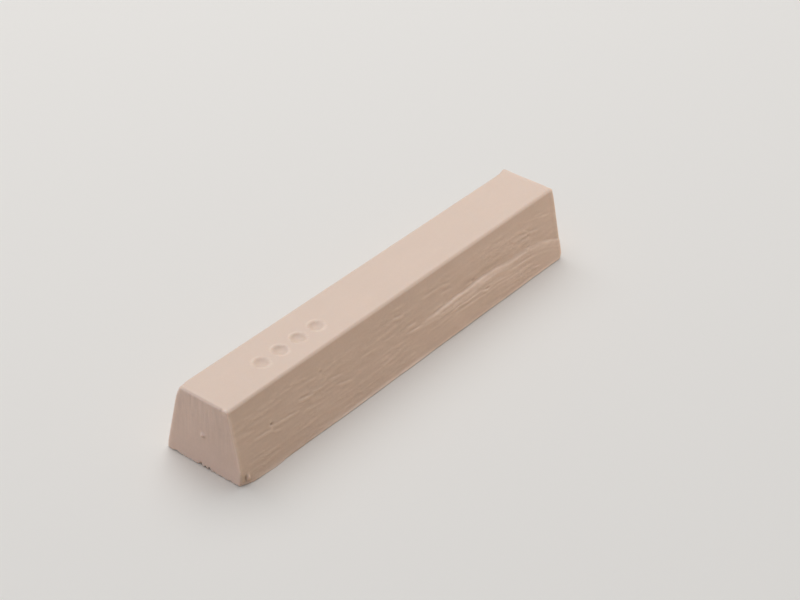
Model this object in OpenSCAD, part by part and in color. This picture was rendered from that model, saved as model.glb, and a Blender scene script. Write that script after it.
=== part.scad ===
// Cast stick of pigmented filler wax for repairing furniture.
// The stick lies on its wide poured face, with the narrow moulded face up.
// X runs along its length, and the origin is the middle of the poured face.

/* [Bar] */
// Length from end to end
bar_length = 80; // [50:1:120]
// Width across the wide poured face
base_width = 15.8; // [12:0.1:24]
// Width across the narrow moulded face, taken where its rounded edges would be sharp
top_width = 10; // [7:0.1:14]
// Height from the poured face to the moulded face
bar_height = 12.6; // [9:0.1:20]

/* [Edges] */
// Radius along the two long edges of the moulded face
long_edge_radius = 0.7; // [0.3:0.1:2]
// Radius where the end faces meet the sides and the moulded face
end_edge_radius = 0.45; // [0.2:0.05:1]

/* [Mark] */
// Number of dimples in the row that the mould leaves
dimple_count = 4; // [1:1:6]
// Diameter of a dimple at the face
dimple_diameter = 2.6; // [1:0.1:4]
// Depth of a dimple
dimple_depth = 0.5; // [0.2:0.05:1]
// Distance between the middles of neighbouring dimples
dimple_pitch = 4.1; // [3:0.1:6]
// Distance from the near end to the middle of the row
row_inset = 18.2; // [14:0.1:30]
// How far the row lies off the middle line, towards the lapped side
row_offset = 0.6; // [0:0.1:1.5]

/* [Flow lap] */
// How far the later pour stands out of the side, at the far end of its lip
lap_step = 0.3; // [0.1:0.05:0.6]
// Length of the lapped stretch, measured back from the far end
lap_length = 46; // [25:1:49]
// Distance from the far end to the highest point of the lip
lap_crown_inset = 26; // [12:1:34]
// Height of that highest point, measured up the slope from the poured face
lap_crown_height = 6.6; // [5:0.1:8]
// Height up the slope where the later pour runs out to nothing at the far end
lap_foot_height = 0.7; // [0.5:0.1:1.5]
// Radius of the curve along which the lip falls towards the far end
lap_lip_radius = 160; // [120:5:300]

/* [Hidden] */

wax_colour = [0.85, 0.77, 0.70];

// The sides lean inwards by this angle, so that the casting leaves its mould.
side_lean = atan((base_width - top_width) / 2 / bar_height);

// Cutters reach this far past the faces that they cut.
cut_past = 1;
// The later pour is rooted this deep in the bar.
lap_root = 0.4;

arc_facets = 96;
lip_facets = 240;

// A dimple is the shallow cap of a ball of this radius.
dimple_ball = (pow(dimple_diameter / 2, 2) + pow(dimple_depth, 2)) / (2 * dimple_depth);

// The lap is laid out on the side itself: along the bar, and up the slope.
lap_start = bar_length / 2 - lap_length;
lap_crown = bar_length / 2 - lap_crown_inset;
lap_end = bar_length / 2 - end_edge_radius - lap_step;
// It thickens away from a line that falls from the start of the lip to the foot.
fall_angle = atan((lap_crown_height - lap_foot_height) / (lap_end - lap_start));
lip_drop = lap_lip_radius - sqrt(pow(lap_lip_radius, 2) - pow(lap_end - lap_crown, 2));
lip_clearance = (lap_crown_height - lip_drop - lap_foot_height) * cos(fall_angle);
swell_angle = atan(lap_step / lip_clearance);

// Section of the casting, with its width along X and its height along Y.
module bar_section() {
    polygon([
        [-base_width / 2, 0],
        [base_width / 2, 0],
        [top_width / 2, bar_height],
        [-top_width / 2, bar_height]
    ]);
}

// What rounding takes off a sharp edge that runs along the X axis. One face of the
// edge lies level towards -Y, and the other falls from it, leaning out by the angle given.
module edge_waste(radius, length, lean = 0) {
    middle = [-radius * tan(45 - lean / 2), -radius];
    to_level_face = (radius + cut_past) * [0, 1];
    to_falling_face = (radius + cut_past) * [cos(lean), sin(lean)];
    rotate([90, 0, 90])
        linear_extrude(length, center = true)
            difference() {
                polygon([
                    middle,
                    middle + to_falling_face,
                    middle + to_falling_face + to_level_face,
                    middle + to_level_face
                ]);
                translate(middle)
                    circle(radius, $fn = arc_facets);
            }
}

module long_edges() {
    for (side = [0, 1])
        mirror([0, side, 0])
            translate([0, top_width / 2, bar_height])
                edge_waste(long_edge_radius, bar_length + 2 * cut_past, side_lean);
}

module end_edges() {
    for (end = [0, 1])
        mirror([end, 0, 0])
            translate([bar_length / 2, 0, 0]) {
                translate([0, 0, bar_height])
                    rotate([0, 0, -90])
                        edge_waste(end_edge_radius, base_width);
                for (side = [0, 1])
                    mirror([0, side, 0])
                        translate([0, base_width / 2, 0])
                            rotate([side_lean, 0, 0])
                                rotate([0, 90, 0])
                                    edge_waste(end_edge_radius, 3 * bar_height);
            }
}

// Lays its children on the lapped side: X along the bar, Y up the slope, Z outwards.
module on_lapped_side() {
    translate([0, -base_width / 2, 0])
        rotate([90 - side_lean, 0, 0])
            children();
}

// The side below the lip, where the rising wax ran over wax that had already set.
module flow_lap() {
    on_lapped_side()
        intersection() {
            translate([0, 0, -lap_root])
                linear_extrude(lap_root + 2 * lap_step)
                    intersection() {
                        translate([lap_start, lap_foot_height / 2])
                            square([lap_end - lap_start, lap_crown_height]);
                        translate([lap_crown, lap_crown_height - lap_lip_radius])
                            circle(lap_lip_radius, $fn = lip_facets);
                    }
            translate([lap_end, lap_foot_height, 0])
                rotate([0, 0, -fall_angle])
                    rotate([swell_angle, 0, 0])
                        translate([-2 * lap_length, -bar_height, -bar_height])
                            cube([3 * lap_length, 2 * bar_height, bar_height]);
        }
}

module dimple_row() {
    for (i = [0 : dimple_count - 1])
        translate([
            -bar_length / 2 + row_inset + (i - (dimple_count - 1) / 2) * dimple_pitch,
            -row_offset,
            bar_height - dimple_depth + dimple_ball
        ])
            sphere(dimple_ball, $fn = arc_facets);
}

module wax_bar() {
    color(wax_colour)
        difference() {
            union() {
                rotate([90, 0, 90])
                    linear_extrude(bar_length, center = true)
                        bar_section();
                flow_lap();
            }
            long_edges();
            end_edges();
            dimple_row();
        }
}

wax_bar();
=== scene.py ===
"""A cast stick of filler wax for repairing furniture, on a plain studio floor.

Lengths in the property groups are metres. The functions that shape the wax work in millimetres.
"""

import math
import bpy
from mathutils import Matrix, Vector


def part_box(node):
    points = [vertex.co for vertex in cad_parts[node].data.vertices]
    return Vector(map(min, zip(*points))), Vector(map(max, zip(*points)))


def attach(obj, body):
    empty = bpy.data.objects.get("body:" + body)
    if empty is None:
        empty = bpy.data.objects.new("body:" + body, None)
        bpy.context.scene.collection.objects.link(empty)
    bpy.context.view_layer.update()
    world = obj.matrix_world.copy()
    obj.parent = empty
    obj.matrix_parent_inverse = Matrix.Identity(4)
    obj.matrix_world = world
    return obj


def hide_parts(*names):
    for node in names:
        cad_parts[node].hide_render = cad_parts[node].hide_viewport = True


bl_info = {
    "name": "Filler wax stick",
    "version": (1, 0, 0),
    "blender": (4, 5, 0),
    "location": "View3D > Sidebar > Wax stick",
    "description": "Models a cast stick of filler wax over its packed solid",
    "category": "Add Mesh",
}

from types import SimpleNamespace

import bpy
import numpy as np
from bpy.props import FloatProperty, FloatVectorProperty, IntProperty, PointerProperty
from mathutils import Matrix, Vector

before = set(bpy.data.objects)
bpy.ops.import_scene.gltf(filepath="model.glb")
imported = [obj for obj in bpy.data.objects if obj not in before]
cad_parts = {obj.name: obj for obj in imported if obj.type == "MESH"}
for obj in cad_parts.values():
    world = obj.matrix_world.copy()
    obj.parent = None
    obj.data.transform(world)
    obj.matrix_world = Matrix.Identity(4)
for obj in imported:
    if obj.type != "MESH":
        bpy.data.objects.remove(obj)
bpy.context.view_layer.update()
BAR_LOW, BAR_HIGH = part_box("wax_bar")

MM = 0.001

# How finely the skin of the bar is divided. Rings lie closer together in a stretch near each end, and
# the rows of the long sides crowd towards the base.
STEPS_ALONG = 250
STEPS_ACROSS = 70
STEPS_UP = 100
STEPS_AROUND = 2 * (STEPS_ACROSS + STEPS_UP)
ARC_STEPS = 4
END_STEPS = 18
END_STRETCH = 3.0
BASE_CROWDING = 0.35

# Room round each face in the flat layout of the skin.
FLAT_GAP = 2

# One face gives way to the next while a point's facing agrees with the face's by this much.
FACE_BLEND = (0.75, 0.97)

# Each face takes its noise from its own run of seeds.
LIP_SEED = 11
LAPPED_SEED = 20
PLAIN_SEED = 40
TOP_SEED = 50
NEAR_SEED = 60
FAR_SEED = 65
BASE_SEED = 70
BASE_EDGE_SEED = 80
SIDE_LAP_SEED = 100
PLAIN_LAP_SEED = 200

# Short laps on the plain side: how many there are, and the seed of the draw that places them.
PLAIN_LAPS = 34
PLAIN_LAPS_DRAW = 7

# Small laps on the side with the main lap: where each starts and ends along the bar, how far down the
# side it lies at its start and at its end, and how far it stands out.
SIDE_LAPS = (
    (-37.6, -34.6, 2.5, 2.6, 0.02),
    (-36.2, -31.8, 6.6, 6.9, 0.06),
    (-32.2, -25.6, 6.4, 7.1, 0.05),
    (-32.2, -30.6, 7.3, 7.6, 0.04),
    (-29.8, -26.8, 2.4, 2.6, 0.02),
    (-26.2, -22.8, 2.4, 2.8, 0.03),
    (-26.0, -20.4, 3.4, 3.8, 0.04),
    (-26.2, -23.0, 5.4, 5.9, 0.07),
    (-22.8, -20.2, 5.6, 5.9, 0.03),
    (-19.4, -16.0, 5.5, 6.0, 0.05),
    (-17.9, -14.5, 7.2, 7.9, 0.05),
    (-11.8, -7.4, 5.6, 5.8, 0.03),
    (-6.6, -3.4, 5.6, 5.8, 0.03),
    (-3.3, -0.9, 3.2, 3.6, 0.07),
    (-0.7, 1.9, 6.0, 6.2, 0.06),
    (-0.7, 3.4, 7.1, 7.4, 0.06),
    (3.8, 8.4, 3.1, 3.2, 0.05),
    (4.6, 7.8, 7.2, 7.2, 0.05),
    (8.2, 11.0, 4.5, 4.7, 0.04),
    (8.5, 11.0, 3.2, 3.7, 0.06),
    (9.0, 18.6, 7.6, 7.65, 0.025),
    (9.4, 24.0, 9.2, 9.45, 0.038),
    (10.0, 18.0, 8.4, 8.45, 0.045),
    (13.6, 19.4, 4.5, 4.6, 0.015),
    (14.3, 16.8, 5.9, 6.0, 0.05),
    (17.8, 20.0, 8.5, 8.9, 0.07),
    (19.4, 24.6, 4.85, 4.9, 0.04),
    (25.0, 33.5, 8.5, 8.9, 0.04),
    (29.8, 32.3, 5.2, 5.25, 0.07),
    (31.0, 40.5, 2.1, 4.3, 0.022),
    (31.8, 34.2, 11.0, 11.4, 0.04),
    (31.9, 34.7, 4.4, 5.2, 0.05),
    (33.4, 36.6, 2.3, 2.8, 0.03),
)

# Thin raised bars on that side, given in the same way.
SIDE_BARS = (
    (30.2, 31.9, 3.78, 4.28, 0.06),
    (30.2, 31.9, 4.66, 4.94, 0.09),
)

# Pits and bumps on that side: place along the bar, distance down the side, half length, half height
# and depth, which is negative for a bump. A slit and the flake beside it come first.
DEEP_PIT = (-32.2, 6.20, 0.18, 0.15, 0.36)
SIDE_PITS = (
    (-39.00, 11.7, 0.10, 0.60, 0.34),
    (-38.60, 11.7, 0.22, 0.50, -0.28),
    DEEP_PIT,
    (-20.6, 3.50, 0.28, 0.15, 0.10),
    (16.6, 6.05, 0.35, 0.18, 0.15),
    (19.3, 8.80, 0.35, 0.18, 0.14),
    (27.7, 5.50, 0.22, 0.14, 0.08),
    (31.5, 7.00, 0.25, 0.14, 0.08),
    (31.95, 5.05, 0.20, 0.14, 0.12),
)

# Notches in the base edge of the near end: place across the bar, half width and height.
END_NOTCHES = (
    (0.80, 0.26, 0.80),
    (-0.15, 0.20, 0.60),
    (-0.95, 0.26, 0.70),
    (5.60, 0.30, 0.20),
    (-3.40, 0.30, 0.16),
)

# A bump on the near end: place across the bar, height above the base, half width and how far it stands
# out. One flank of it has a painted highlight and the other a painted shadow, at the places given across
# and up.
END_BUMP = (0.1, 6.0, 0.32, 0.5)
BUMP_HIGHLIGHT = (0.3, 6.15)
BUMP_SHADOW = (-0.25, 5.8)
BUMP_FLANK = 0.25

# What each part of the mould gave the wax: how finely the grain repeats along x, y and z, its depth, and
# how strong its streaks, its dullness and its mottling are.
WAX_FINISHES = {
    "flowed_side_wax": ((1100, 3400, 3400), 0.025 * MM, 0.04, 0.52, 0.12),
    "moulded_face_wax": ((3000, 3000, 3000), 0.012 * MM, 0.02, 0.45, 0.05),
    "poured_face_wax": ((200, 2400, 2400), 0.05 * MM, 0.06, 0.6, 0.06),
    "end_face_wax": ((1500, 2000, 260), 0.03 * MM, 0.06, 0.48, 0.12),
}
FINISH_OF_FACE = {
    "lapped": "flowed_side_wax",
    "plain": "flowed_side_wax",
    "top": "moulded_face_wax",
    "base": "poured_face_wax",
    "near": "end_face_wax",
    "far": "end_face_wax",
}

# Where each lamp stands, how wide it is and its colour.
KEY_LAMP = dict(place=(0.22, 0.33, 0.80), size=0.9, colour=(1, 0.978, 0.949))
END_FILL = dict(place=(-0.45, 0.12, 0.13), size=0.3, colour=(0.79, 0.80, 1))
SIDE_FILL = dict(place=(0.17, -0.15, 0.09), size=0.15, colour=(1, 0.834, 0.751))


class WaxBarSizes(bpy.types.PropertyGroup):
    """Sizes of the bar."""

    length: FloatProperty(
        name="Length", description="Length from end to end",
        default=BAR_HIGH.x - BAR_LOW.x, unit="LENGTH", precision=5,
    )
    base_width: FloatProperty(
        name="Base width", description="Width across the poured face",
        default=BAR_HIGH.y - BAR_LOW.y, unit="LENGTH", precision=5,
    )
    top_width: FloatProperty(
        name="Top width", description="Width across the moulded face, where its edges would be sharp",
        default=10.0 * MM, unit="LENGTH", precision=5,
    )
    height: FloatProperty(
        name="Height", description="Height from the poured face to the moulded face",
        default=BAR_HIGH.z - BAR_LOW.z, unit="LENGTH", precision=5,
    )
    long_edge_radius: FloatProperty(
        name="Long edge radius", description="Radius along the long edges of the moulded face",
        default=0.6 * MM, unit="LENGTH", precision=5,
    )
    end_lean: FloatProperty(
        name="End lean", description="How far both ends lean towards the far end, from base to top",
        default=0.36 * MM, unit="LENGTH", precision=5,
    )
    end_edge_radius: FloatProperty(
        name="End edge radius", description="Radius round the edges of both ends",
        default=0.45 * MM, unit="LENGTH", precision=5,
    )
    base_edge_radius: FloatProperty(
        name="Base edge radius", description="Radius along the edges of the poured face",
        default=0.15 * MM, unit="LENGTH", precision=5,
    )
    dimple_count: IntProperty(
        name="Dimples", description="Number of dimples in the row on the moulded face", default=4,
    )
    dimple_diameter: FloatProperty(
        name="Dimple diameter", description="Diameter of a dimple at the face",
        default=2.6 * MM, unit="LENGTH", precision=5,
    )
    dimple_depth: FloatProperty(
        name="Dimple depth", description="Depth of a dimple",
        default=0.5 * MM, unit="LENGTH", precision=5,
    )
    dimple_pitch: FloatProperty(
        name="Dimple pitch", description="Distance between the middles of neighbouring dimples",
        default=4.1 * MM, unit="LENGTH", precision=5,
    )
    row_inset: FloatProperty(
        name="Row inset", description="Distance from the near end to the middle of the row",
        default=18.2 * MM, unit="LENGTH", precision=5,
    )
    row_offset: FloatProperty(
        name="Row offset", default=0.6 * MM, unit="LENGTH", precision=5,
        description="How far the row lies off the middle line, towards the lapped side",
    )
    lap_step: FloatProperty(
        name="Lap step", description="How far the main lap stands out below its lip",
        default=0.3 * MM, unit="LENGTH", precision=5,
    )
    lap_crown_inset: FloatProperty(
        name="Lap crown inset", description="Distance from the far end to the highest point of the lip",
        default=26.0 * MM, unit="LENGTH", precision=5,
    )
    lap_crown_height: FloatProperty(
        name="Lap crown height", description="Height of that point, measured up the side",
        default=6.6 * MM, unit="LENGTH", precision=5,
    )
    lap_lip_radius: FloatProperty(
        name="Lap lip radius", description="Radius of the curve along which the lip falls",
        default=160.0 * MM, unit="LENGTH", precision=5,
    )


class WaxFinish(bpy.types.PropertyGroup):
    """Colours of the wax, with the pale colour of wear and painted highlights and the colour of painted
    shade.
    """

    body_colour: FloatVectorProperty(
        name="Body colour", description="Colour of the wax", subtype="COLOR",
        size=4, min=0, max=1, default=(0.690, 0.550, 0.460, 1.0),
    )
    # Pale colour for wear and for painted highlights on edges, lips and bumps.
    wear_and_highlight_colour: FloatVectorProperty(
        name="Rubbed colour", description="Colour of edges and lips that handling has rubbed pale",
        subtype="COLOR", size=4, min=0, max=1, default=(0.850, 0.700, 0.595, 1.0),
    )
    # Colour of painted shade in pits, creases and other spots.
    painted_shade_colour: FloatVectorProperty(
        name="Crease colour", description="Colour of the dirt in pits and creases",
        subtype="COLOR", size=4, min=0, max=1, default=(0.400, 0.290, 0.220, 1.0),
    )


class WaxStage(bpy.types.PropertyGroup):
    """The studio round the stick."""

    floor_colour: FloatVectorProperty(
        name="Floor colour", description="Colour of the floor as the camera sees it", subtype="COLOR",
        size=4, min=0, max=1, default=(0.89, 0.88, 0.865, 1.0),
    )
    bounce_colour: FloatVectorProperty(
        name="Bounce colour", description="Colour of the light that the floor throws back on the stick",
        subtype="COLOR", size=4, min=0, max=1, default=(0.55, 0.405, 0.245, 1.0),
    )
    key_power: FloatProperty(
        name="Key power", description="Power of the large lamp behind the stick",
        default=5.4, unit="POWER",
    )
    end_fill_power: FloatProperty(
        name="End fill power", description="Power of the lamp that faces the near end",
        default=0.6, unit="POWER",
    )
    side_fill_power: FloatProperty(
        name="Side fill power", description="Power of the lamp in front of the lapped side",
        default=0.156, unit="POWER",
    )
    sky_strength: FloatProperty(
        name="Sky strength", description="Strength of the even light all round", default=0.33,
    )
    camera_azimuth: FloatProperty(
        name="Camera azimuth", description="Turn of the camera round the stick",
        default=math.radians(-50.74), subtype="ANGLE",
    )
    camera_elevation: FloatProperty(
        name="Camera elevation", description="Height of the camera above the floor, as an angle",
        default=math.radians(34.75), subtype="ANGLE",
    )
    camera_roll: FloatProperty(
        name="Camera roll", description="Turn of the camera about its own line of sight",
        default=math.radians(0.17), subtype="ANGLE",
    )
    camera_distance: FloatProperty(
        name="Camera distance", description="Distance from the camera to the point that it looks at",
        default=322.54 * MM, unit="LENGTH",
    )
    camera_target: FloatVectorProperty(
        name="Camera target", description="Point on the floor that the camera looks at",
        size=3, subtype="TRANSLATION", default=(12.22 * MM, 5.35 * MM, 0.0),
    )
    camera_lens: FloatProperty(
        name="Camera lens", description="Focal length in millimetres", default=86.81, unit="CAMERA",
    )


def in_millimetres(group):
    """The lengths of a property group in millimetres, and its counts as they are."""
    values = {name: getattr(group, name) for name in group.__annotations__}
    return SimpleNamespace(**{n: v / MM if isinstance(v, float) else v for n, v in values.items()})


def smooth(start, end, value):
    """0 below start, 1 above end, with an even curve between."""
    t = np.clip((value - start) / (end - start), 0, 1)
    return t * t * (3 - 2 * t)


def mound(value, width):
    """1 at 0, falling away to nothing over a width or two."""
    return np.exp(-((value / width) ** 2))


def gather(value, centre, width, share):
    """Values drawn together near a centre, where their spacing shrinks by the share given."""
    away = value - centre
    return value - share * away * mound(away, width)


def ripple(seed, u, v):
    """Smooth noise from about -1 to 1, whose waves are about 2 long in u and in v."""
    cells = 256
    turns = np.random.default_rng(seed).uniform(0, 2 * np.pi, (cells, cells))
    i = np.floor(u).astype(int)
    j = np.floor(v).astype(int)

    def corner(a, b):
        turn = turns[(i + a) % cells, (j + b) % cells]
        return np.cos(turn) * (u - i - a) + np.sin(turn) * (v - j - b)

    s = smooth(0, 1, u - i)
    t = smooth(0, 1, v - j)
    low = corner(0, 0) * (1 - s) + corner(1, 0) * s
    high = corner(0, 1) * (1 - s) + corner(1, 1) * s
    return 1.5 * (low * (1 - t) + high * t)


def wander(seed, u):
    """Smooth noise along a line."""
    return ripple(seed, u, np.zeros_like(u))


def side_lean(s):
    """The angle by which the long sides lean inwards."""
    return math.atan((s.base_width - s.top_width) / 2 / s.height)


def distance_to_side(y, z, s):
    """How far a point lies inside the nearer long side."""
    lean = side_lean(s)
    return (s.base_width / 2 - np.abs(y)) * math.cos(lean) - z * math.sin(lean)


def section_loop(s):
    """Points round the bar's rounded section as (y, z), and the directions that they face.

    The loop runs along the base from -Y, up the +Y side, back along the top and down the -Y side.
    """
    half_base = s.base_width / 2
    half_top = s.top_width / 2
    corners = np.array([(-half_base, 0), (half_base, 0), (half_top, s.height), (-half_top, s.height)])
    radii = (s.base_edge_radius, s.base_edge_radius, s.long_edge_radius, s.long_edge_radius)
    run = np.roll(corners, -1, axis=0) - corners
    heading = np.arctan2(run[:, 1], run[:, 0])
    turn = (heading - np.roll(heading, 1)) % (2 * np.pi)
    setback = np.array(radii) * np.tan(turn / 2)
    ahead = np.stack([np.cos(heading), np.sin(heading)], axis=1)
    inward = np.stack([-ahead[:, 1], ahead[:, 0]], axis=1)
    middles = corners + ahead * setback[:, None] + inward * np.array(radii)[:, None]
    across = np.linspace(0, 1, STEPS_ACROSS - 2 * ARC_STEPS + 1)
    even = np.linspace(0, 1, STEPS_UP - 2 * ARC_STEPS + 1)
    climb = even - BASE_CROWDING * np.sin(np.pi * even) / np.pi
    share = np.arange(ARC_STEPS) / ARC_STEPS
    points = []
    facing = []
    for e, spread in enumerate((across, climb, across, 1 - climb[::-1])):
        after = (e + 1) % 4
        start = corners[e] + ahead[e] * setback[e]
        end = corners[after] - ahead[e] * setback[after]
        out = heading[e] - np.pi / 2
        opening = out - turn[e] / 2 * (1 - share)
        closing = out + turn[after] / 2 * share[1:]
        for angles, middle, radius in (
            (opening, middles[e], radii[e]),
            (np.full(len(spread), out), start + (end - start) * spread[:, None], 0),
            (closing, middles[after], radii[after]),
        ):
            directions = np.stack([np.cos(angles), np.sin(angles)], axis=1)
            facing.append(directions)
            points.append(middle + radius * directions)
    return np.concatenate(points), np.concatenate(facing)


def bar_rings(s):
    """Rings of points round the bar from end to end, tucked in where the ends round off."""
    points, facing = section_loop(s)
    radius = s.end_edge_radius
    tilt = np.linspace(np.pi / 4, 0, ARC_STEPS, endpoint=False)
    rounding = s.length / 2 - radius * (1 - np.sin(tilt))
    close = np.linspace(s.length / 2 - radius, s.length / 2 - END_STRETCH, END_STEPS, endpoint=False)
    middle_steps = STEPS_ALONG - 2 * (ARC_STEPS + END_STEPS)
    middle = np.linspace(END_STRETCH - s.length / 2, s.length / 2 - END_STRETCH, middle_steps + 1)
    # Rings gather at the row of dimples and at the deep pit.
    middle = gather(middle, s.row_inset - s.length / 2, 7.0, 0.3)
    middle = gather(middle, DEEP_PIT[0], 1.4, 0.5)
    end = np.concatenate([rounding, close])
    stations = np.concatenate([-end, middle, end[::-1]])
    tuck = np.zeros(len(stations))
    tuck[:ARC_STEPS] = radius * (1 - np.cos(tilt))
    tuck[-ARC_STEPS:] = tuck[:ARC_STEPS][::-1]
    on_base = smooth(0.5, 0.9, -facing[:, 1])
    share = 1 - on_base * (1 - s.base_edge_radius / radius)
    rings = np.empty((len(stations), len(points), 3))
    rings[..., 0] = stations[:, None]
    rings[..., 1:] = points - tuck[:, None, None] * (share[:, None] * facing)
    return rings


def cap_border(ring):
    """An end's border in four runs: base and top from -Y to +Y, and both sides from base to top."""
    closed = np.concatenate([ring, ring[:1]])
    top_start = STEPS_ACROSS + STEPS_UP
    base = closed[: STEPS_ACROSS + 1]
    plus = closed[STEPS_ACROSS : top_start + 1]
    top = closed[top_start : top_start + STEPS_ACROSS + 1][::-1]
    minus = closed[top_start + STEPS_ACROSS :][::-1]
    return base, plus, top, minus


def end_cap(ring, s):
    """The points of an end face inside its border, as a grid from -Y to +Y and from base to top."""
    base, plus, top, minus = cap_border(ring[:, 1:])
    u = ((base[:, 0] - base[0, 0]) / (base[-1, 0] - base[0, 0]))[:, None, None]
    v = ((minus[:, 1] - minus[0, 1]) / (minus[-1, 1] - minus[0, 1]))[None, :, None]
    ruled = (1 - v) * base[:, None] + v * top[:, None] + (1 - u) * minus[None] + u * plus[None]
    corners = (1 - u) * ((1 - v) * base[0] + v * top[0]) + u * ((1 - v) * base[-1] + v * top[-1])
    y, z = np.moveaxis((ruled - corners)[1:-1, 1:-1], 2, 0)
    to_rim = np.minimum(distance_to_side(y, z, s), s.height - z)
    short = np.clip(1 - to_rim / s.end_edge_radius, 0, 1)
    drop = s.end_edge_radius * (1 - np.sqrt(1 - short**2))
    x = np.sign(ring[0, 0]) * (s.length / 2 - drop)
    return np.stack([x, y, z], axis=2)


def cell_corners(grid):
    """The four corners of each cell of a grid, in order round the cell."""
    corners = (grid[:-1, :-1], grid[:-1, 1:], grid[1:, 1:], grid[1:, :-1])
    return np.stack(corners, axis=2).reshape(-1, 4, *grid.shape[2:])


def bar_skin(s):
    """The smooth bar: its points, the quads that join them and the flat layout of the quads' corners."""
    rings = bar_rings(s)
    caps = [end_cap(rings[0], s), end_cap(rings[-1], s)]
    points = np.concatenate([rings.reshape(-1, 3)] + [cap.reshape(-1, 3) for cap in caps])
    count = len(rings)
    ids = np.arange(count * STEPS_AROUND).reshape(count, STEPS_AROUND)
    quads = [cell_corners(np.concatenate([ids, ids[:, :1]], axis=1))]

    # The long faces unroll into one strip, and the end faces lie above it.
    loop = np.concatenate([rings[count // 2], rings[count // 2, :1]])
    girth = np.concatenate([[0], np.cumsum(np.linalg.norm(np.diff(loop, axis=0), axis=1))])
    strip = np.stack(np.meshgrid(s.length / 2 - rings[:, 0, 0], girth, indexing="ij"), axis=2)
    layout = [cell_corners(strip)]
    first = ids.size
    for border, side in ((ids[0], -1), (ids[-1], 1)):
        base, plus, top, minus = cap_border(border)
        grid = np.empty((STEPS_ACROSS + 1, STEPS_UP + 1), int)
        grid[:, 0], grid[-1], grid[:, -1], grid[0] = base, plus, top, minus
        inside = grid[1:-1, 1:-1]
        inside[:] = first + np.arange(inside.size).reshape(inside.shape)
        first += inside.size
        cap = cell_corners(grid)[:, [0, 3, 2, 1]][:, ::side]
        quads.append(cap)
        middle = (s.length / 2 + side * s.base_width * 0.6, girth[-1] + FLAT_GAP)
        layout.append(points[cap][..., 1:] * (side, 1) + middle)
    flat = (np.concatenate(layout) + FLAT_GAP) / (s.length + 2 * FLAT_GAP)
    return points, np.concatenate(quads), flat


def facing_of(points, quads):
    """The direction that the skin faces at each point."""
    a, b, c, d = (points[quads[:, k]] for k in range(4))
    faces = np.cross(c - a, d - b)
    total = np.zeros_like(points)
    for k in range(4):
        np.add.at(total, quads[:, k], faces)
    return total / np.linalg.norm(total, axis=1, keepdims=True)


def face_directions(s):
    """The directions of the bar's six faces."""
    lean = side_lean(s)
    return {
        "lapped": (0, -math.cos(lean), math.sin(lean)),
        "plain": (0, math.cos(lean), math.sin(lean)),
        "top": (0, 0, 1),
        "base": (0, 0, -1),
        "near": (-1, 0, 0),
        "far": (1, 0, 0),
    }


def lap(below, step, rise, fall):
    """Height of a lap at a distance below its lip: a crease over it, a swell and a slow run-out."""
    crease = -0.5 * step * mound(below + 0.1, 0.13)
    return crease + step * smooth(0, rise, below) * (1 - smooth(rise, fall, below))


def small_lap(x, down, start, end, down_start, down_end, step, seed):
    """Height of one short lap, which fades out at both of its ends."""
    along = (x - start) / (end - start)
    waver = 0.07 * ripple(seed, x / 0.9, np.full_like(x, seed))
    lip = down_start + (down_end - down_start) * along + waver
    shown = smooth(-0.15, 0.4, along) * (1 - smooth(0.5, 1.15, along))
    return 1.2 * shown * lap(down - lip, step, 0.15 + step, 0.4 + 6 * step)


def flow_layers(seed, x, down, strength):
    """Thin skins of wax that set one over another as the mould filled: steps along wandering lines."""
    drift = down + 0.35 * ripple(seed, x / 12, down / 4)
    layers = 0.012 * smooth(-0.25, 0.25, ripple(seed + 1, x / 8, drift / 1.1))
    bold = 0.025 - 0.005 * smooth(-25, -10, x)
    layers += bold * smooth(-0.3, 0.3, ripple(seed + 2, x / 3.4, drift / 0.55))
    layers += 0.004 * ripple(seed + 3, x / 1.6, drift / 0.3)
    layers *= strength * flow_strength(seed, x, down)
    return layers + 0.03 * ripple(seed + 5, x / 11, down / 3.5)


def flow_strength(seed, x, down):
    """Where the wax flowed most along a side: in patches, less at the ends and near the moulded face."""
    patches = 0.35 + 0.65 * smooth(-0.3, 0.4, ripple(seed + 4, x / 9, down / 3))
    ends = (0.4 + 0.6 * smooth(-39, -35, x)) * (1 - 0.6 * smooth(31, 34, x))
    return (1 + 0.3 * smooth(5, 30, x)) * ends * smooth(0.8, 3, down) * patches


def lip_line(x, s):
    """How far down the side the lip of the main lap lies."""
    slope = math.hypot(s.height, (s.base_width - s.top_width) / 2)
    crown = s.length / 2 - s.lap_crown_inset
    curve = slope - s.lap_crown_height + (x - crown) ** 2 / (2 * s.lap_lip_radius)
    # The lip slips off this even curve here and there, and most at the far end.
    slip = 0.25 * (1 - smooth(14, 18, x)) + 0.3 * smooth(22.5, 26, x) * (1 - smooth(26, 31, x))
    slip += 0.85 * smooth(34.5, 39.5, x) - 0.25 * smooth(24, 30, x)
    return curve + slip + 0.12 * wander(LIP_SEED, x / 2.6) + 0.05 * wander(LIP_SEED + 1, x / 0.8)


def lap_shown(x):
    """How much of the main lap shows: it rises out of the side and dies down towards the far end."""
    return smooth(0, 11, x) * (1 - 0.65 * smooth(20, 32, x) + 0.05 * smooth(34, 38, x))


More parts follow.
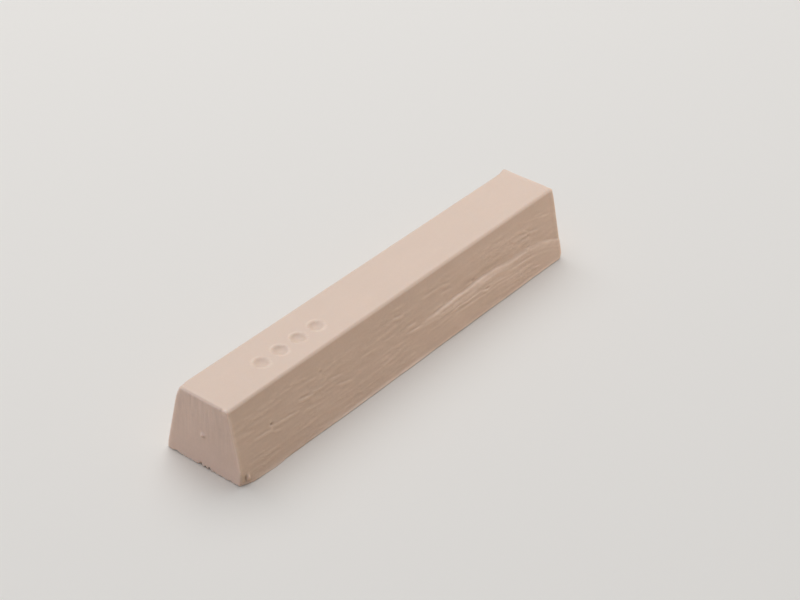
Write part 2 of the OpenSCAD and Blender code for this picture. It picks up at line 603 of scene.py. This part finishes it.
def main_lap(x, below, s):
    """Relief of the main lap: a hollow and a crease over its lip, a ledge and a run-out to the base."""
    step = s.lap_step * lap_shown(x) * (0.95 + 0.25 * wander(LIP_SEED + 2, x / 3.5))
    soft = 0.42 + 0.28 * smooth(22, 28, x) * (1 - smooth(34, 38, x))
    hollow = 0.4 * smooth(8, 18, x) * mound(below + 0.3, 0.9)
    ledge = 0.8 * smooth(0, soft, below) + 0.2 * smooth(0.2, 1.4, below)
    crease = 0.22 * smooth(-0.3, 0.6, wander(LIP_SEED + 3, x / 2)) * mound(below + 0.05, 0.14)
    strands = 0.25 * ripple(LIP_SEED + 4, x / 8, below / 0.33) * smooth(0.2, 0.6, below)
    strands *= 1 - smooth(2, 3.6, below)
    strands *= 1 - 0.6 * smooth(32, 36, x)
    swell = 1.15 * ledge * (1 - smooth(2.2, 7.5, below))
    return step * (swell + strands - hollow - crease)


def lap_highlight(x, below):
    """Painted highlight on the main lap: most along its lip, and a little below it."""
    wide = 0.28 + 0.1 * smooth(22, 28, x)
    bright = 0.8 * (1 - smooth(17, 25, x)) + 0.35 * smooth(34, 38, x)
    swell = smooth(0.2, 0.8, below) * (1 - smooth(4, 9, below))
    swell_bright = 0.18 - 0.14 * smooth(20, 27, x)
    return lap_shown(x) * (bright * mound(below - wide, wide) + swell_bright * swell)


def lap_shade(x, below):
    """Painted shade in the hollow over the main lap's lip, in a groove below it and along the lip near
    the far end.
    """
    hollow = smooth(9, 14, x) * lap_shown(x) * mound(below + 1.2, 0.9)
    groove = 1.5 * smooth(18, 22, x) * (1 - smooth(31, 35, x)) * mound(below - 1.1, 0.3)
    far_line = 1.2 * smooth(34, 37, x) * mound(below + 0.2, 0.3)
    return hollow + groove + far_line


def side_pits(x, down):
    """Relief of the pits and bumps alone."""
    relief = np.zeros_like(x)
    for place, level, half_length, half_height, depth in SIDE_PITS:
        relief -= depth * mound(x - place, half_length) * mound(down - level, half_height)
    return relief


def lapped_side(x, down, below, s):
    """Relief of the side with the main lap."""
    relief = main_lap(x, below, s) + flow_layers(LAPPED_SEED, x, down, 1.3)
    for number, row in enumerate(SIDE_LAPS):
        relief += small_lap(x, down, *row, seed=SIDE_LAP_SEED + number)
    for start, end, down_start, down_end, height in SIDE_BARS:
        along = (x - start) / (end - start)
        level = down_start + (down_end - down_start) * along
        relief += height * mound(along - 0.5, 0.6) * mound(down - level, 0.16)
    return relief + side_pits(x, down)


def plain_side(x, down):
    """Relief of the other long side, with short laps where chance puts them."""
    draw = np.random.default_rng(PLAIN_LAPS_DRAW)
    relief = flow_layers(PLAIN_SEED, x, down, 0.7)
    for number in range(PLAIN_LAPS):
        start = draw.uniform(-39, 34)
        length = draw.uniform(2, 9)
        level = draw.uniform(2, 11)
        fall = draw.uniform(-0.3, 0.5)
        step = draw.uniform(0.02, 0.06)
        row = (start, start + length, level, level + fall, step)
        relief += small_lap(x, down, *row, seed=PLAIN_LAP_SEED + number)
    return relief


def moulded_top(x, y, s):
    """Relief of the moulded face: nearly smooth, with the row of dimples and their soft rims."""
    relief = 0.02 * ripple(TOP_SEED, x / 7, y / 4) + 0.004 * ripple(TOP_SEED + 1, x / 1.1, y / 1.1)
    radius = s.dimple_diameter / 2
    ball = (radius**2 + s.dimple_depth**2) / (2 * s.dimple_depth)
    for i in range(s.dimple_count):
        middle = s.row_inset - s.length / 2 + (i - (s.dimple_count - 1) / 2) * s.dimple_pitch
        reach = np.hypot(x - middle, y + s.row_offset)
        cap = np.sqrt(np.clip(ball**2 - reach**2, 0, None)) - (ball - s.dimple_depth)
        relief -= np.clip(cap, 0, None)
        relief += 0.045 * mound(reach - radius - 0.15, 0.22)
    return relief


def end_face(seed, y, z):
    """Relief of an end: fine upright streaks, strongest high up."""
    streaks = ripple(seed, y / 0.45, z / 5) * smooth(-0.3, 0.5, ripple(seed + 2, y / 1.5, z / 6))
    return 0.05 * smooth(3, 8, z) * streaks + 0.02 * ripple(seed + 1, y / 3, z / 3)


def near_end(y, z):
    """Relief of the near end, with its one bump."""
    place, level, half_width, height = END_BUMP
    bump = height * mound(y - place, half_width) * mound(z - level, half_width)
    return end_face(NEAR_SEED, y, z) + bump


def poured_base(x, y):
    """Relief of the poured face, which was scraped level while soft. All of it goes inwards."""
    scrapes = ripple(BASE_SEED, x / 9, y / 0.35)
    hollows = ripple(BASE_SEED + 1, x / 4, y / 4)
    return -0.03 * smooth(0, 0.8, scrapes) - 0.05 * smooth(0.1, 0.9, hollows)


def ragged_base_edge(points, s):
    """How far each point near the edge of the poured face moves: a thin flare with chips out of it."""
    x, y, z = points.T
    from_near_end = x + s.length / 2
    half_section = s.base_width / 2 + (s.top_width - s.base_width) / 2 * z / s.height
    to_side = np.clip(half_section - np.abs(y), 0, None)
    to_end = np.clip(s.length / 2 - np.abs(x), 0, None)
    reach = 0.3
    edge = np.exp(-np.minimum(to_side, to_end) / reach) * np.exp(-z / 0.22)
    rough = 0.3 + 1.2 * np.exp(-from_near_end / 0.6)
    teeth = ripple(BASE_EDGE_SEED + 2, x / 0.33, y / 0.33)
    chips = smooth(0.15, 0.6, ripple(BASE_EDGE_SEED, x / 0.8, y / 0.8))
    end_pull = np.sign(x) * np.exp(-to_end / reach)
    side_pull = np.sign(y) * np.exp(-to_side / reach)
    outward = np.stack([end_pull, side_pull], axis=1)
    outward /= np.maximum(np.linalg.norm(outward, axis=1, keepdims=True), 1)
    flare = 0.14 * smooth(0, 1.5, from_near_end) + 0.06 * ripple(BASE_EDGE_SEED + 4, x / 5, y / 5)
    bulge = 0.16 * smooth(-26, -18, x) * (1 - smooth(1, 5, x)) - 0.1 * mound(x - 13, 6)
    flare += (y < 0) * (bulge - 0.1 * mound(x - 19.6, 0.4))
    move = np.zeros_like(points)
    move[:, :2] = outward * (edge * (flare + rough * (0.06 * teeth - 0.10 * chips)))[:, None]
    move[:, 2] = edge * rough * (0.10 * chips + 0.10 * np.clip(teeth, 0, None))
    for place, half_width, height in END_NOTCHES:
        at_end = np.exp(-from_near_end / 0.4) * np.exp(-z / (1.4 * height))
        move[:, 2] += height * at_end * mound(y - place, half_width)
    return move


def proud_edges(points, s):
    """How far each point moves on two upright edges and the far rim, which stand a little proud."""
    x, y, z = points.T
    to_end = np.clip(s.length / 2 - np.abs(x), 0, None)
    to_side = np.clip(distance_to_side(y, z, s), 0, None)
    on_edges = (x * y < 0) * mound(to_end + to_side, 0.7)
    amount = np.where(x < 0, 0.15, 0.25)
    outward = np.stack([0.63 * np.sign(x), 0.77 * np.sign(y), 0 * z], axis=1)
    far_rim = (x > 0) * mound(to_end + np.clip(s.height - z, 0, None), 0.6)
    move = (amount * on_edges)[:, None] * outward
    return move + (0.12 * far_rim)[:, None] * np.array([0.7, 0, 0.7])


def worn_corners(points, s):
    """How far each point near a corner moves, where knocks have blunted it or flash was left on it."""
    half = s.length / 2
    base = s.base_width / 2
    top = s.top_width / 2
    move = np.zeros_like(points)
    # Each row gives a corner, how far the wear reaches and its depth, which is negative for flash.
    for corner, reach, depth in (
        ((-half, base, 0), 0.7, 0.15),
        ((half, base, 0), 0.8, 0.20),
        ((-half, top, s.height), 1.2, 0.30),
        ((half, -top, s.height), 1.0, 0.12),
        ((-half, 0.7 - top, s.height), 0.25, -0.3),
        ((half, top, s.height), 1.2, -0.12),
    ):
        away = np.linalg.norm(points - np.array(corner), axis=1)
        upward = 0.6 if corner[2] == 0 else -0.6
        inward = np.array([-np.sign(corner[0]), -np.sign(corner[1]), upward])
        move += depth * mound(away, reach)[:, None] * inward / np.linalg.norm(inward)
    burr = points - np.array([half, top, s.height])
    move[:, 1] += 0.3 * mound(np.linalg.norm(burr * (0.7, 1, 1), axis=1), 0.9)
    return move


def sheared_corners(points, s):
    """How far each point moves at two corners of the base, where a knock has sheared off a flat."""
    slope = (s.base_width - s.top_width) / 2 / s.height
    soft = 0.15
    move = np.zeros_like(points)
    # Each row gives the end, and how far the flat reaches across the end, along the side and upwards.
    for end, across, along, up in ((-1, 0.87, 2.65, 2.6), (1, 1.2, 0.9, 1.3)):
        corner = np.array([end * s.length / 2, -s.base_width / 2, 0])
        on_end = corner + (0, across, 0)
        on_side = corner + (-end * along, 0, 0)
        on_edge = corner + (0, slope * up, up)
        out = np.cross(on_side - on_end, on_edge - on_end)
        out *= -end / np.linalg.norm(out)
        over = (points - on_end) @ out
        move -= ((over + np.sqrt(over**2 + soft**2)) / 2)[:, None] * out
    return move


def sharpness(relief):
    """How far the relief stands above or below its surroundings a few rows away, on the rings only."""
    sharp = np.zeros_like(relief)
    on_rings = (STEPS_ALONG + 1) * STEPS_AROUND
    grid = relief[:on_rings].reshape(-1, STEPS_AROUND)
    nearby = sum(np.roll(grid, shift, axis=1) for shift in (-4, -3, -2, 2, 3, 4)) / 6
    sharp[:on_rings] = (grid - nearby).ravel()
    return sharp


def close_up_lip(points, on_side, s):
    """The points, with those on the lapped side drawn together along the main lap's lip.

    It also gives how far down the side each point lies, and how far below the lip.
    """
    lean = side_lean(s)
    lip = lip_line(points[:, 0], s)
    down = (s.height - points[:, 2]) / math.cos(lean)
    shift = on_side * (gather(down, lip, 0.9, 0.55) - down)
    points = points + shift[:, None] * np.array([0, -math.sin(lean), -math.cos(lean)])
    down = down + shift
    return points, down, down - lip


def wax_relief(skin, s):
    """How far each point stands out of the smooth bar, blended from face to face."""
    x, y, z, down = skin.x, skin.y, skin.z, skin.down
    relief_of = {
        "lapped": lapped_side(x, down, skin.below, s),
        "plain": plain_side(x, down),
        "top": moulded_top(x, y, s),
        "base": poured_base(x, y),
        "near": near_end(y, z),
        "far": end_face(FAR_SEED, y, z),
    }
    return sum(skin.on[face] * relief for face, relief in relief_of.items())


def pale_edges(skin, s):
    """How pale the edges of the bar are: wear from handling, with painted highlights along the upright
    rims and the base edge.
    """
    x, y, z, on = skin.x, skin.y, skin.z, skin.on
    to_end = s.length / 2 - np.abs(x)
    to_side = distance_to_side(y, z, s)
    # Painted highlights along the rims of the ends, over their wear, wider on the +Y side.
    rims_on_ends = np.where(y > 0, 1.6 * mound(to_side, 0.45), 1.7 * mound(to_side, 0.25))
    near_rims = (1.9 - 0.7 * skin.high) * mound(to_end, 0.4)
    rims_on_sides = np.where(x > 0, 1.7 * mound(to_end, 0.6), near_rims)
    on_end = np.maximum(on["near"], on["far"]) > 0.5
    bevels = 1 - np.max(list(on.values()), axis=0)
    edges = np.maximum(bevels, np.where(on_end, rims_on_ends, rims_on_sides))

    # Round the moulded face only the corners are made much paler.
    long_bevels = smooth(s.height - 2, s.height - 1, z) * smooth(0.5, 1.2, to_end)
    upright = mound(to_end, 0.45) * mound(to_side, 0.45)
    edges *= 1 - np.maximum(0.75 * skin.high, 0.95 * long_bevels) * (1 - upright)

    # Painted highlight along the base edge, stronger towards the far end and weak on the near end.
    base_lip = (0.5 + 0.8 * smooth(-30, 10, x)) * mound(z - 0.2, 0.25)
    base_lip *= (1 - on["base"]) * (1 - 0.8 * on["near"])
    return np.maximum(edges, base_lip)


def wear_and_highlight_mask(skin, s):
    """How pale each point is: wear on edges and flakes, painted highlights on edges, lips, the flash and
    the near end's bump, and painted light on the lapped side.
    """
    x, y, z, down, on = skin.x, skin.y, skin.z, skin.down, skin.on
    # Painted highlights on ridges that stand above their surroundings and along the main lap.
    lips = np.clip(skin.sharp / 0.04, 0, 0.6) + on["lapped"] * lap_highlight(x, skin.below)
    # Painted light on the lapped side: lighter low down, more so towards the far end, and in a patch high
    # near the far end.
    lower_side_light = smooth(6, 12, down) * (0.03 + 0.07 * smooth(-15, 15, x) + 0.07 * mound(x - 16, 7))
    lower_side_light += 0.13 * smooth(31, 35, x) * mound(down - 3.5, 1.1)
    flakes = np.clip(skin.pits / 0.2, 0, 1.5)
    # Painted highlight on the flash at the near end's top corner on the lapped side.
    burr = mound(x + s.length / 2, 0.5) * mound(y + s.top_width / 2 - 0.9, 0.7) * skin.high
    wear_and_highlight = np.clip(pale_edges(skin, s) + lips + on["lapped"] * lower_side_light + flakes + burr, 0, 1.5)
    # Painted highlight on the +Y flank of the near end's bump.
    bump = mound(np.hypot(y - BUMP_HIGHLIGHT[0], z - BUMP_HIGHLIGHT[1]), BUMP_FLANK)
    return wear_and_highlight + 1.2 * on["near"] * bump


def painted_shade_mask(skin, s):
    """Painted shade at each point: in creases and pits, over and below the main lap, beside the flash and
    the near end's bump, and in a few darker patches where shade falls.
    """
    x, y, z, down, on = skin.x, skin.y, skin.z, skin.down, skin.on
    # Painted shade where the relief lies below its surroundings, except on the moulded face.
    crease = np.clip(-skin.sharp / 0.08, 0, 1) * (1 - on["top"])
    # Painted shade on the rounded edge between the moulded face and the near end, away from the -Y side.
    near_rim = smooth(0.03, 0.35, skin.tilt) * (1 - smooth(0.7, 0.95, skin.tilt))
    inner = 1 - smooth(s.top_width / 2 - 2, s.top_width / 2 - 0.8, -y)
    crease += 0.25 * near_rim * skin.high * inner
    # Painted shade: the lapped side darker low down towards the near end.
    crease += 0.3 * on["lapped"] * smooth(6, 9, down) * (1 - smooth(-34, -22, x))
    # Painted shade in pits, and over and below the main lap's lip.
    crease += np.clip(-skin.pits / 0.2, 0, 1.8) + 0.45 * on["lapped"] * lap_shade(x, skin.below)
    # Painted shadow on the -Y flank of the near end's bump.
    bump = mound(np.hypot(y - BUMP_SHADOW[0], z - BUMP_SHADOW[1]), BUMP_FLANK)
    crease += 1.5 * on["near"] * bump
    # Painted shade: the near end darker towards its -Y side, except low down.
    crease += 0.25 * on["near"] * smooth(-1, 5, -y) * smooth(1.5, 4, z)
    # Painted shadow beside the flash at the near end's top corner on the lapped side.
    under_burr = mound(np.hypot(y + s.top_width / 2 - 1.3, z - s.height + 0.2), 0.28)
    return crease + 1.5 * mound(x + s.length / 2, 0.5) * under_burr


def flow_mask(skin):
    """How strongly the grain of the flowing wax shows at each point."""
    high_on_ends = smooth(2, 8, skin.z)
    flow_of = {
        "lapped": flow_strength(LAPPED_SEED, skin.x, skin.down),
        "plain": flow_strength(PLAIN_SEED, skin.x, skin.down),
        "top": 0.3,
        "base": 1,
        "near": high_on_ends,
        "far": high_on_ends,
    }
    return sum(skin.on[face] * flow for face, flow in flow_of.items())


def shape_wax(s):
    """The finished skin: points, quads, flat layout, the face that each quad lies on, and point masks."""
    points, quads, flat = bar_skin(s)
    facing = facing_of(points, quads)
    directions = face_directions(s)
    alignment = np.stack([facing @ np.array(d) for d in directions.values()])
    on = dict(zip(directions, smooth(*FACE_BLEND, alignment)))
    points, down, below = close_up_lip(points, on["lapped"], s)
    x, y, z = points.T
    skin = SimpleNamespace(x=x, y=y, z=z, down=down, below=below, on=on, tilt=-facing[:, 0])
    relief = wax_relief(skin, s)
    skin.sharp = sharpness(relief)
    skin.pits = on["lapped"] * side_pits(x, down)
    skin.high = smooth(s.height - 1.2, s.height - 0.3, z)
    # The crease mask is painted shade; the pale mask is wear with painted highlights.
    masks = {"wear_and_highlight": wear_and_highlight_mask(skin, s), "crease": painted_shade_mask(skin, s), "flow": flow_mask(skin)}
    moved = points + facing * relief[:, None] + ragged_base_edge(points, s)
    moved += worn_corners(points, s) + proud_edges(points, s) + sheared_corners(points, s)
    moved[:, 2] = np.maximum(moved[:, 2], 0)
    moved[:, 0] += s.end_lean * moved[:, 2] / s.height
    face_of_quad = alignment[:, quads].mean(axis=2).argmax(axis=0)
    return moved, quads, flat, face_of_quad, masks


def plug(tree, socket, value):
    """Links the socket to another one, or sets it to a value."""
    if isinstance(value, bpy.types.NodeSocket):
        tree.links.new(value, socket)
    else:
        socket.default_value = value


def add_node(tree, kind, settings, **inputs):
    """A new node with its settings, and with each named input linked or set."""
    node = tree.nodes.new("ShaderNode" + kind)
    for name, value in settings.items():
        setattr(node, name, value)
    for name, value in inputs.items():
        plug(tree, node.inputs[name.replace("_", " ")], value)
    return node


def maths(tree, operation, *values):
    """The result of a Math node."""
    node = tree.nodes.new("ShaderNodeMath")
    node.operation = operation
    for socket, value in zip(node.inputs, values):
        plug(tree, socket, value)
    return node.outputs[0]


def blend(tree, share, first, second):
    """A colour from first to second, by the share from 0 to 1."""
    node = tree.nodes.new("ShaderNodeMix")
    node.data_type = "RGBA"
    plug(tree, node.inputs["Factor"], share)
    plug(tree, node.inputs["A"], first)
    plug(tree, node.inputs["B"], second)
    return node.outputs["Result"]


def object_spot(tree):
    """Where on the object a point lies."""
    return add_node(tree, "TexCoord", {}).outputs["Object"]


def mesh_mask(tree, name):
    """A mask that the mesh carries."""
    return add_node(tree, "Attribute", {"attribute_name": name}).outputs["Fac"]


def noise(tree, spot, scale, **inputs):
    """The value of a noise texture at a spot."""
    return add_node(tree, "TexNoise", {}, Vector=spot, Scale=scale, **inputs).outputs["Fac"]


def ramp(tree, value, start, end, low=0.0, curve="LINEAR"):
    """A value that goes from low to 1 while the given one goes from start to end."""
    curved = {"interpolation_type": curve}
    node = add_node(tree, "MapRange", curved, Value=value, From_Min=start, From_Max=end, To_Min=low)
    return node.outputs["Result"]


def new_effect(name, inputs, outputs):
    """A shader node group with the sockets named, and the ends of those sockets inside it."""
    tree = bpy.data.node_groups.new(name, "ShaderNodeTree")
    for label, kind in inputs.items():
        tree.interface.new_socket(name=label, in_out="INPUT", socket_type="NodeSocket" + kind)
    for label, kind in outputs.items():
        tree.interface.new_socket(name=label, in_out="OUTPUT", socket_type="NodeSocket" + kind)
    given = tree.nodes.new("NodeGroupInput").outputs
    result = tree.nodes.new("NodeGroupOutput").inputs
    return tree, given, result


def place_effect(tree, effect, **inputs):
    """The outputs of an effect placed in a material with its own values."""
    node = tree.nodes.new("ShaderNodeGroup")
    node.node_tree = effect
    for name, value in inputs.items():
        plug(tree, node.inputs[name], value)
    return node.outputs


def pigment_effect():
    """Uneven colour: broad clouds in the melt, fine grains of pigment and the streaks given."""
    inputs = {"Colour": "Color", "Depth": "Float", "Streaks": "Float"}
    tree, given, result = new_effect("pigment", inputs, {"Colour": "Color"})
    spot = object_spot(tree)
    clouds = maths(tree, "MULTIPLY", noise(tree, spot, 110.0, Detail=3.0, Roughness=0.6), 1.4)
    grains = maths(tree, "MULTIPLY", noise(tree, spot, 2600.0, Detail=2.0), 0.8)
    middle = 1.1
    uneven = maths(tree, "SUBTRACT", maths(tree, "ADD", clouds, grains), middle)
    change = maths(tree, "MULTIPLY", uneven, given["Depth"])
    brightness = maths(tree, "ADD", maths(tree, "ADD", change, given["Streaks"]), 1.0)
    scaled = tree.nodes.new("ShaderNodeVectorMath")
    scaled.operation = "SCALE"
    plug(tree, scaled.inputs[0], given["Colour"])
    plug(tree, scaled.inputs["Scale"], brightness)
    plug(tree, result["Colour"], scaled.outputs[0])
    return tree


def wear_and_light_effect():
    """Edges and lips made pale by wear and by painted highlights, and painted shade in pits, creases and
    other spots.
    """
    colours = {"Colour": "Color", "Pale": "Color", "Dirt": "Color"}
    inputs = {**colours, "Rubbing": "Float", "Soiling": "Float"}
    tree, given, result = new_effect("wear_and_light", inputs, {"Colour": "Color"})
    patches = noise(tree, object_spot(tree), 420.0, Detail=3.0)
    broken = ramp(tree, patches, 0.1, 0.6)
    edges = maths(tree, "MULTIPLY", mesh_mask(tree, "wear_and_highlight"), broken)
    wear_and_highlight = maths(tree, "MULTIPLY", edges, given["Rubbing"])
    # The crease mask holds painted shade.
    shaded = maths(tree, "MULTIPLY", mesh_mask(tree, "crease"), given["Soiling"])
    pale = blend(tree, wear_and_highlight, given["Colour"], given["Pale"])
    plug(tree, result["Colour"], blend(tree, shaded, pale, given["Dirt"]))
    return tree


def grain_effect():
    """Marks left by the flowing wax, drawn out by the stretch given: a height, streaks and gloss."""
    outputs = {"Height": "Float", "Streaks": "Float", "Gloss": "Float"}
    tree, given, result = new_effect("grain", {"Stretch": "Vector"}, outputs)
    flow = mesh_mask(tree, "flow")
    drawn = tree.nodes.new("ShaderNodeVectorMath")
    drawn.operation = "MULTIPLY"
    plug(tree, drawn.inputs[0], object_spot(tree))
    plug(tree, drawn.inputs[1], given["Stretch"])
    spot = drawn.outputs[0]
    skins = noise(tree, spot, 0.55, Detail=1.0, Distortion=0.5)
    ledges = ramp(tree, skins, 0.42, 0.58, curve="SMOOTHSTEP")
    marks = noise(tree, spot, 1.0, Detail=3.0, Roughness=0.6)
    height = maths(tree, "ADD", maths(tree, "MULTIPLY", ledges, 0.5), marks)
    plug(tree, result["Height"], maths(tree, "MULTIPLY", height, flow))
    streaks = ramp(tree, marks, 0.3, 0.7, low=-1.0)
    plug(tree, result["Streaks"], maths(tree, "MULTIPLY", streaks, flow))
    plug(tree, result["Gloss"], maths(tree, "SUBTRACT", marks, 0.5))
    return tree


def wax_material(name, finish, effects, stretch, depth, streaking, roughness, mottle):
    """Pigmented wax with the grain that its part of the mould gave it."""
    material = bpy.data.materials.new(name)
    material.use_nodes = True
    tree = material.node_tree
    shader = tree.nodes["Principled BSDF"]
    grain = place_effect(tree, effects["grain"], Stretch=stretch)
    streaks = maths(tree, "MULTIPLY", grain["Streaks"], streaking)
    body = place_effect(
        tree, effects["pigment"], Colour=finish.body_colour, Depth=mottle, Streaks=streaks,
    )
    # Wear and painted highlights make the wax paler, and painted shade darkens it.
    worn_and_lit = place_effect(
        tree, effects["wear_and_light"], Colour=body["Colour"], Pale=finish.wear_and_highlight_colour,
        Dirt=finish.painted_shade_colour, Rubbing=0.8, Soiling=0.3,
    )
    uneven = maths(tree, "MULTIPLY_ADD", grain["Gloss"], 0.3, roughness)
    bump = add_node(tree, "Bump", {}, Height=grain["Height"], Distance=depth)
    plug(tree, shader.inputs["Base Color"], worn_and_lit["Colour"])
    plug(tree, shader.inputs["Roughness"], uneven)
    plug(tree, shader.inputs["Normal"], bump.outputs["Normal"])
    shader.inputs["IOR"].default_value = 1.44
    shader.inputs["Subsurface Weight"].default_value = 0.2
    shader.inputs["Subsurface Radius"].default_value = (1.0, 0.6, 0.4)
    shader.inputs["Subsurface Scale"].default_value = 0.6 * MM
    return material


class WAXSTICK_OT_cast_bar(bpy.types.Operator):
    """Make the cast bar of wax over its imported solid"""

    bl_idname = "wax_stick.cast_bar"
    bl_label = "Cast the bar"

    def execute(self, context):
        s = in_millimetres(context.scene.wax_bar_sizes)
        points, quads, flat, face_of_quad, masks = shape_wax(s)
        mesh = bpy.data.meshes.new("cast_wax_bar")
        mesh.from_pydata((points * MM).tolist(), [], quads.tolist())
        mesh.shade_smooth()
        for name, values in masks.items():
            mask = mesh.attributes.new(name, "FLOAT", "POINT")
            mask.data.foreach_set("value", values.astype(np.float32))
        layout = mesh.uv_layers.new(name="OFBake")
        layout.data.foreach_set("uv", flat.astype(np.float32).ravel())
        finish = context.scene.wax_finish
        effects = {"pigment": pigment_effect(), "wear_and_light": wear_and_light_effect(), "grain": grain_effect()}
        for name, look in WAX_FINISHES.items():
            mesh.materials.append(wax_material(name, finish, effects, *look))
        order = list(WAX_FINISHES)
        slot_of_face = [order.index(FINISH_OF_FACE[face]) for face in face_directions(s)]
        mesh.polygons.foreach_set("material_index", np.array(slot_of_face, np.int32)[face_of_quad])
        bar = bpy.data.objects.new("cast_wax_bar", mesh)
        context.scene.collection.objects.link(bar)
        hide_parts("wax_bar")
        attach(bar, "root")
        return {"FINISHED"}


def seen_by_eye(tree):
    """A mask that is 1 where the camera sees a surface, straight or in a reflection."""
    path = add_node(tree, "LightPath", {}).outputs
    straight = maths(tree, "MAXIMUM", path["Is Camera Ray"], path["Is Glossy Ray"])
    return maths(tree, "MAXIMUM", straight, path["Is Transmission Ray"])


def make_floor(context, stage):
    """A large pale floor that keeps the stick's shadow."""
    half = 1.5
    mesh = bpy.data.meshes.new("studio_floor")
    corners = [(-half, -half, 0), (half, -half, 0), (half, half, 0), (-half, half, 0)]
    mesh.from_pydata(corners, [], [(0, 1, 2, 3)])
    floor = bpy.data.objects.new("studio_floor", mesh)
    context.scene.collection.objects.link(floor)
    material = bpy.data.materials.new("studio_floor")
    material.use_nodes = True
    tree = material.node_tree
    shader = tree.nodes["Principled BSDF"]
    shader.inputs["Roughness"].default_value = 0.9
    colour = blend(tree, seen_by_eye(tree), stage.bounce_colour, stage.floor_colour)
    plug(tree, shader.inputs["Base Color"], colour)
    mesh.materials.append(material)
    return floor


def all_but(item):
    """A collection that, given to a lamp, has it light everything except the item."""
    collection = bpy.data.collections.new("not_" + item.name)
    collection.objects.link(item)
    collection.collection_objects[0].light_linking.link_state = "EXCLUDE"
    return collection


def make_lamp(context, name, power, place, size, colour, receivers=None):
    """A square soft lamp that points at the stick."""
    data = bpy.data.lights.new(name, "AREA")
    data.size = size
    data.energy = power
    data.color = colour
    lamp = bpy.data.objects.new(name, data)
    lamp.location = place
    lamp.rotation_euler = (-Vector(place)).to_track_quat("-Z", "Y").to_euler()
    lamp.visible_camera = False
    lamp.light_linking.receiver_collection = receivers
    context.scene.collection.objects.link(lamp)


def make_sky(context, stage):
    """Even light all round, with a pale background to the eye."""
    world = bpy.data.worlds.new("studio_sky")
    world.use_nodes = True
    tree = world.node_tree
    level = stage.sky_strength
    colour = blend(tree, seen_by_eye(tree), (level, level, level, 1), stage.floor_colour)
    plug(tree, tree.nodes["Background"].inputs["Color"], colour)
    context.scene.world = world


def make_camera(context, stage):
    """The camera at the viewing angle of the reference view."""
    turn = stage.camera_azimuth
    rise = stage.camera_elevation
    across = math.cos(rise)
    back = Vector((math.sin(turn) * across, -math.cos(turn) * across, math.sin(rise)))
    right = Vector((math.cos(turn), math.sin(turn), 0))
    level = Matrix((right, back.cross(right), back)).transposed()
    data = bpy.data.cameras.new("camera")
    data.lens = stage.camera_lens
    data.clip_start = 0.01
    camera = bpy.data.objects.new("camera", data)
    camera.matrix_world = (level @ Matrix.Rotation(stage.camera_roll, 3, "Z")).to_4x4()
    camera.location = Vector(stage.camera_target) + back * stage.camera_distance
    context.scene.collection.objects.link(camera)
    context.scene.camera = camera


class WAXSTICK_OT_studio(bpy.types.Operator):
    """Make the floor, the lamps, the sky and the camera"""

    bl_idname = "wax_stick.studio"
    bl_label = "Set the studio"

    def execute(self, context):
        stage = context.scene.wax_stage
        floor = make_floor(context, stage)
        make_lamp(context, "key_lamp", stage.key_power, **KEY_LAMP)
        # The fills stand low and close, so they would burn out the floor in front of them.
        stick = all_but(floor)
        make_lamp(context, "end_fill", stage.end_fill_power, receivers=stick, **END_FILL)
        make_lamp(context, "side_fill", stage.side_fill_power, receivers=stick, **SIDE_FILL)
        make_sky(context, stage)
        make_camera(context, stage)
        context.scene.view_settings.view_transform = "Standard"
        return {"FINISHED"}


class WAXSTICK_PT_panel(bpy.types.Panel):
    """Sizes, colours and steps of the wax stick"""

    bl_label = "Wax stick"
    bl_idname = "WAXSTICK_PT_panel"
    bl_space_type = "VIEW_3D"
    bl_region_type = "UI"
    bl_category = "Wax stick"

    def draw(self, context):
        layout = self.layout
        layout.operator(WAXSTICK_OT_cast_bar.bl_idname)
        layout.operator(WAXSTICK_OT_studio.bl_idname)
        for group in (context.scene.wax_bar_sizes, context.scene.wax_finish, context.scene.wax_stage):
            box = layout.box()
            for name in group.__annotations__:
                box.prop(group, name)


CLASSES = (
    WaxBarSizes,
    WaxFinish,
    WaxStage,
    WAXSTICK_OT_cast_bar,
    WAXSTICK_OT_studio,
    WAXSTICK_PT_panel,
)


def register():
    for cls in CLASSES:
        bpy.utils.register_class(cls)
    bpy.types.Scene.wax_bar_sizes = PointerProperty(type=WaxBarSizes)
    bpy.types.Scene.wax_finish = PointerProperty(type=WaxFinish)
    bpy.types.Scene.wax_stage = PointerProperty(type=WaxStage)


def unregister():
    del bpy.types.Scene.wax_stage
    del bpy.types.Scene.wax_finish
    del bpy.types.Scene.wax_bar_sizes
    for cls in reversed(CLASSES):
        bpy.utils.unregister_class(cls)


def main():
    register()
    bpy.ops.wax_stick.cast_bar()
    bpy.ops.wax_stick.studio()


if __name__ == "__main__":
    main()
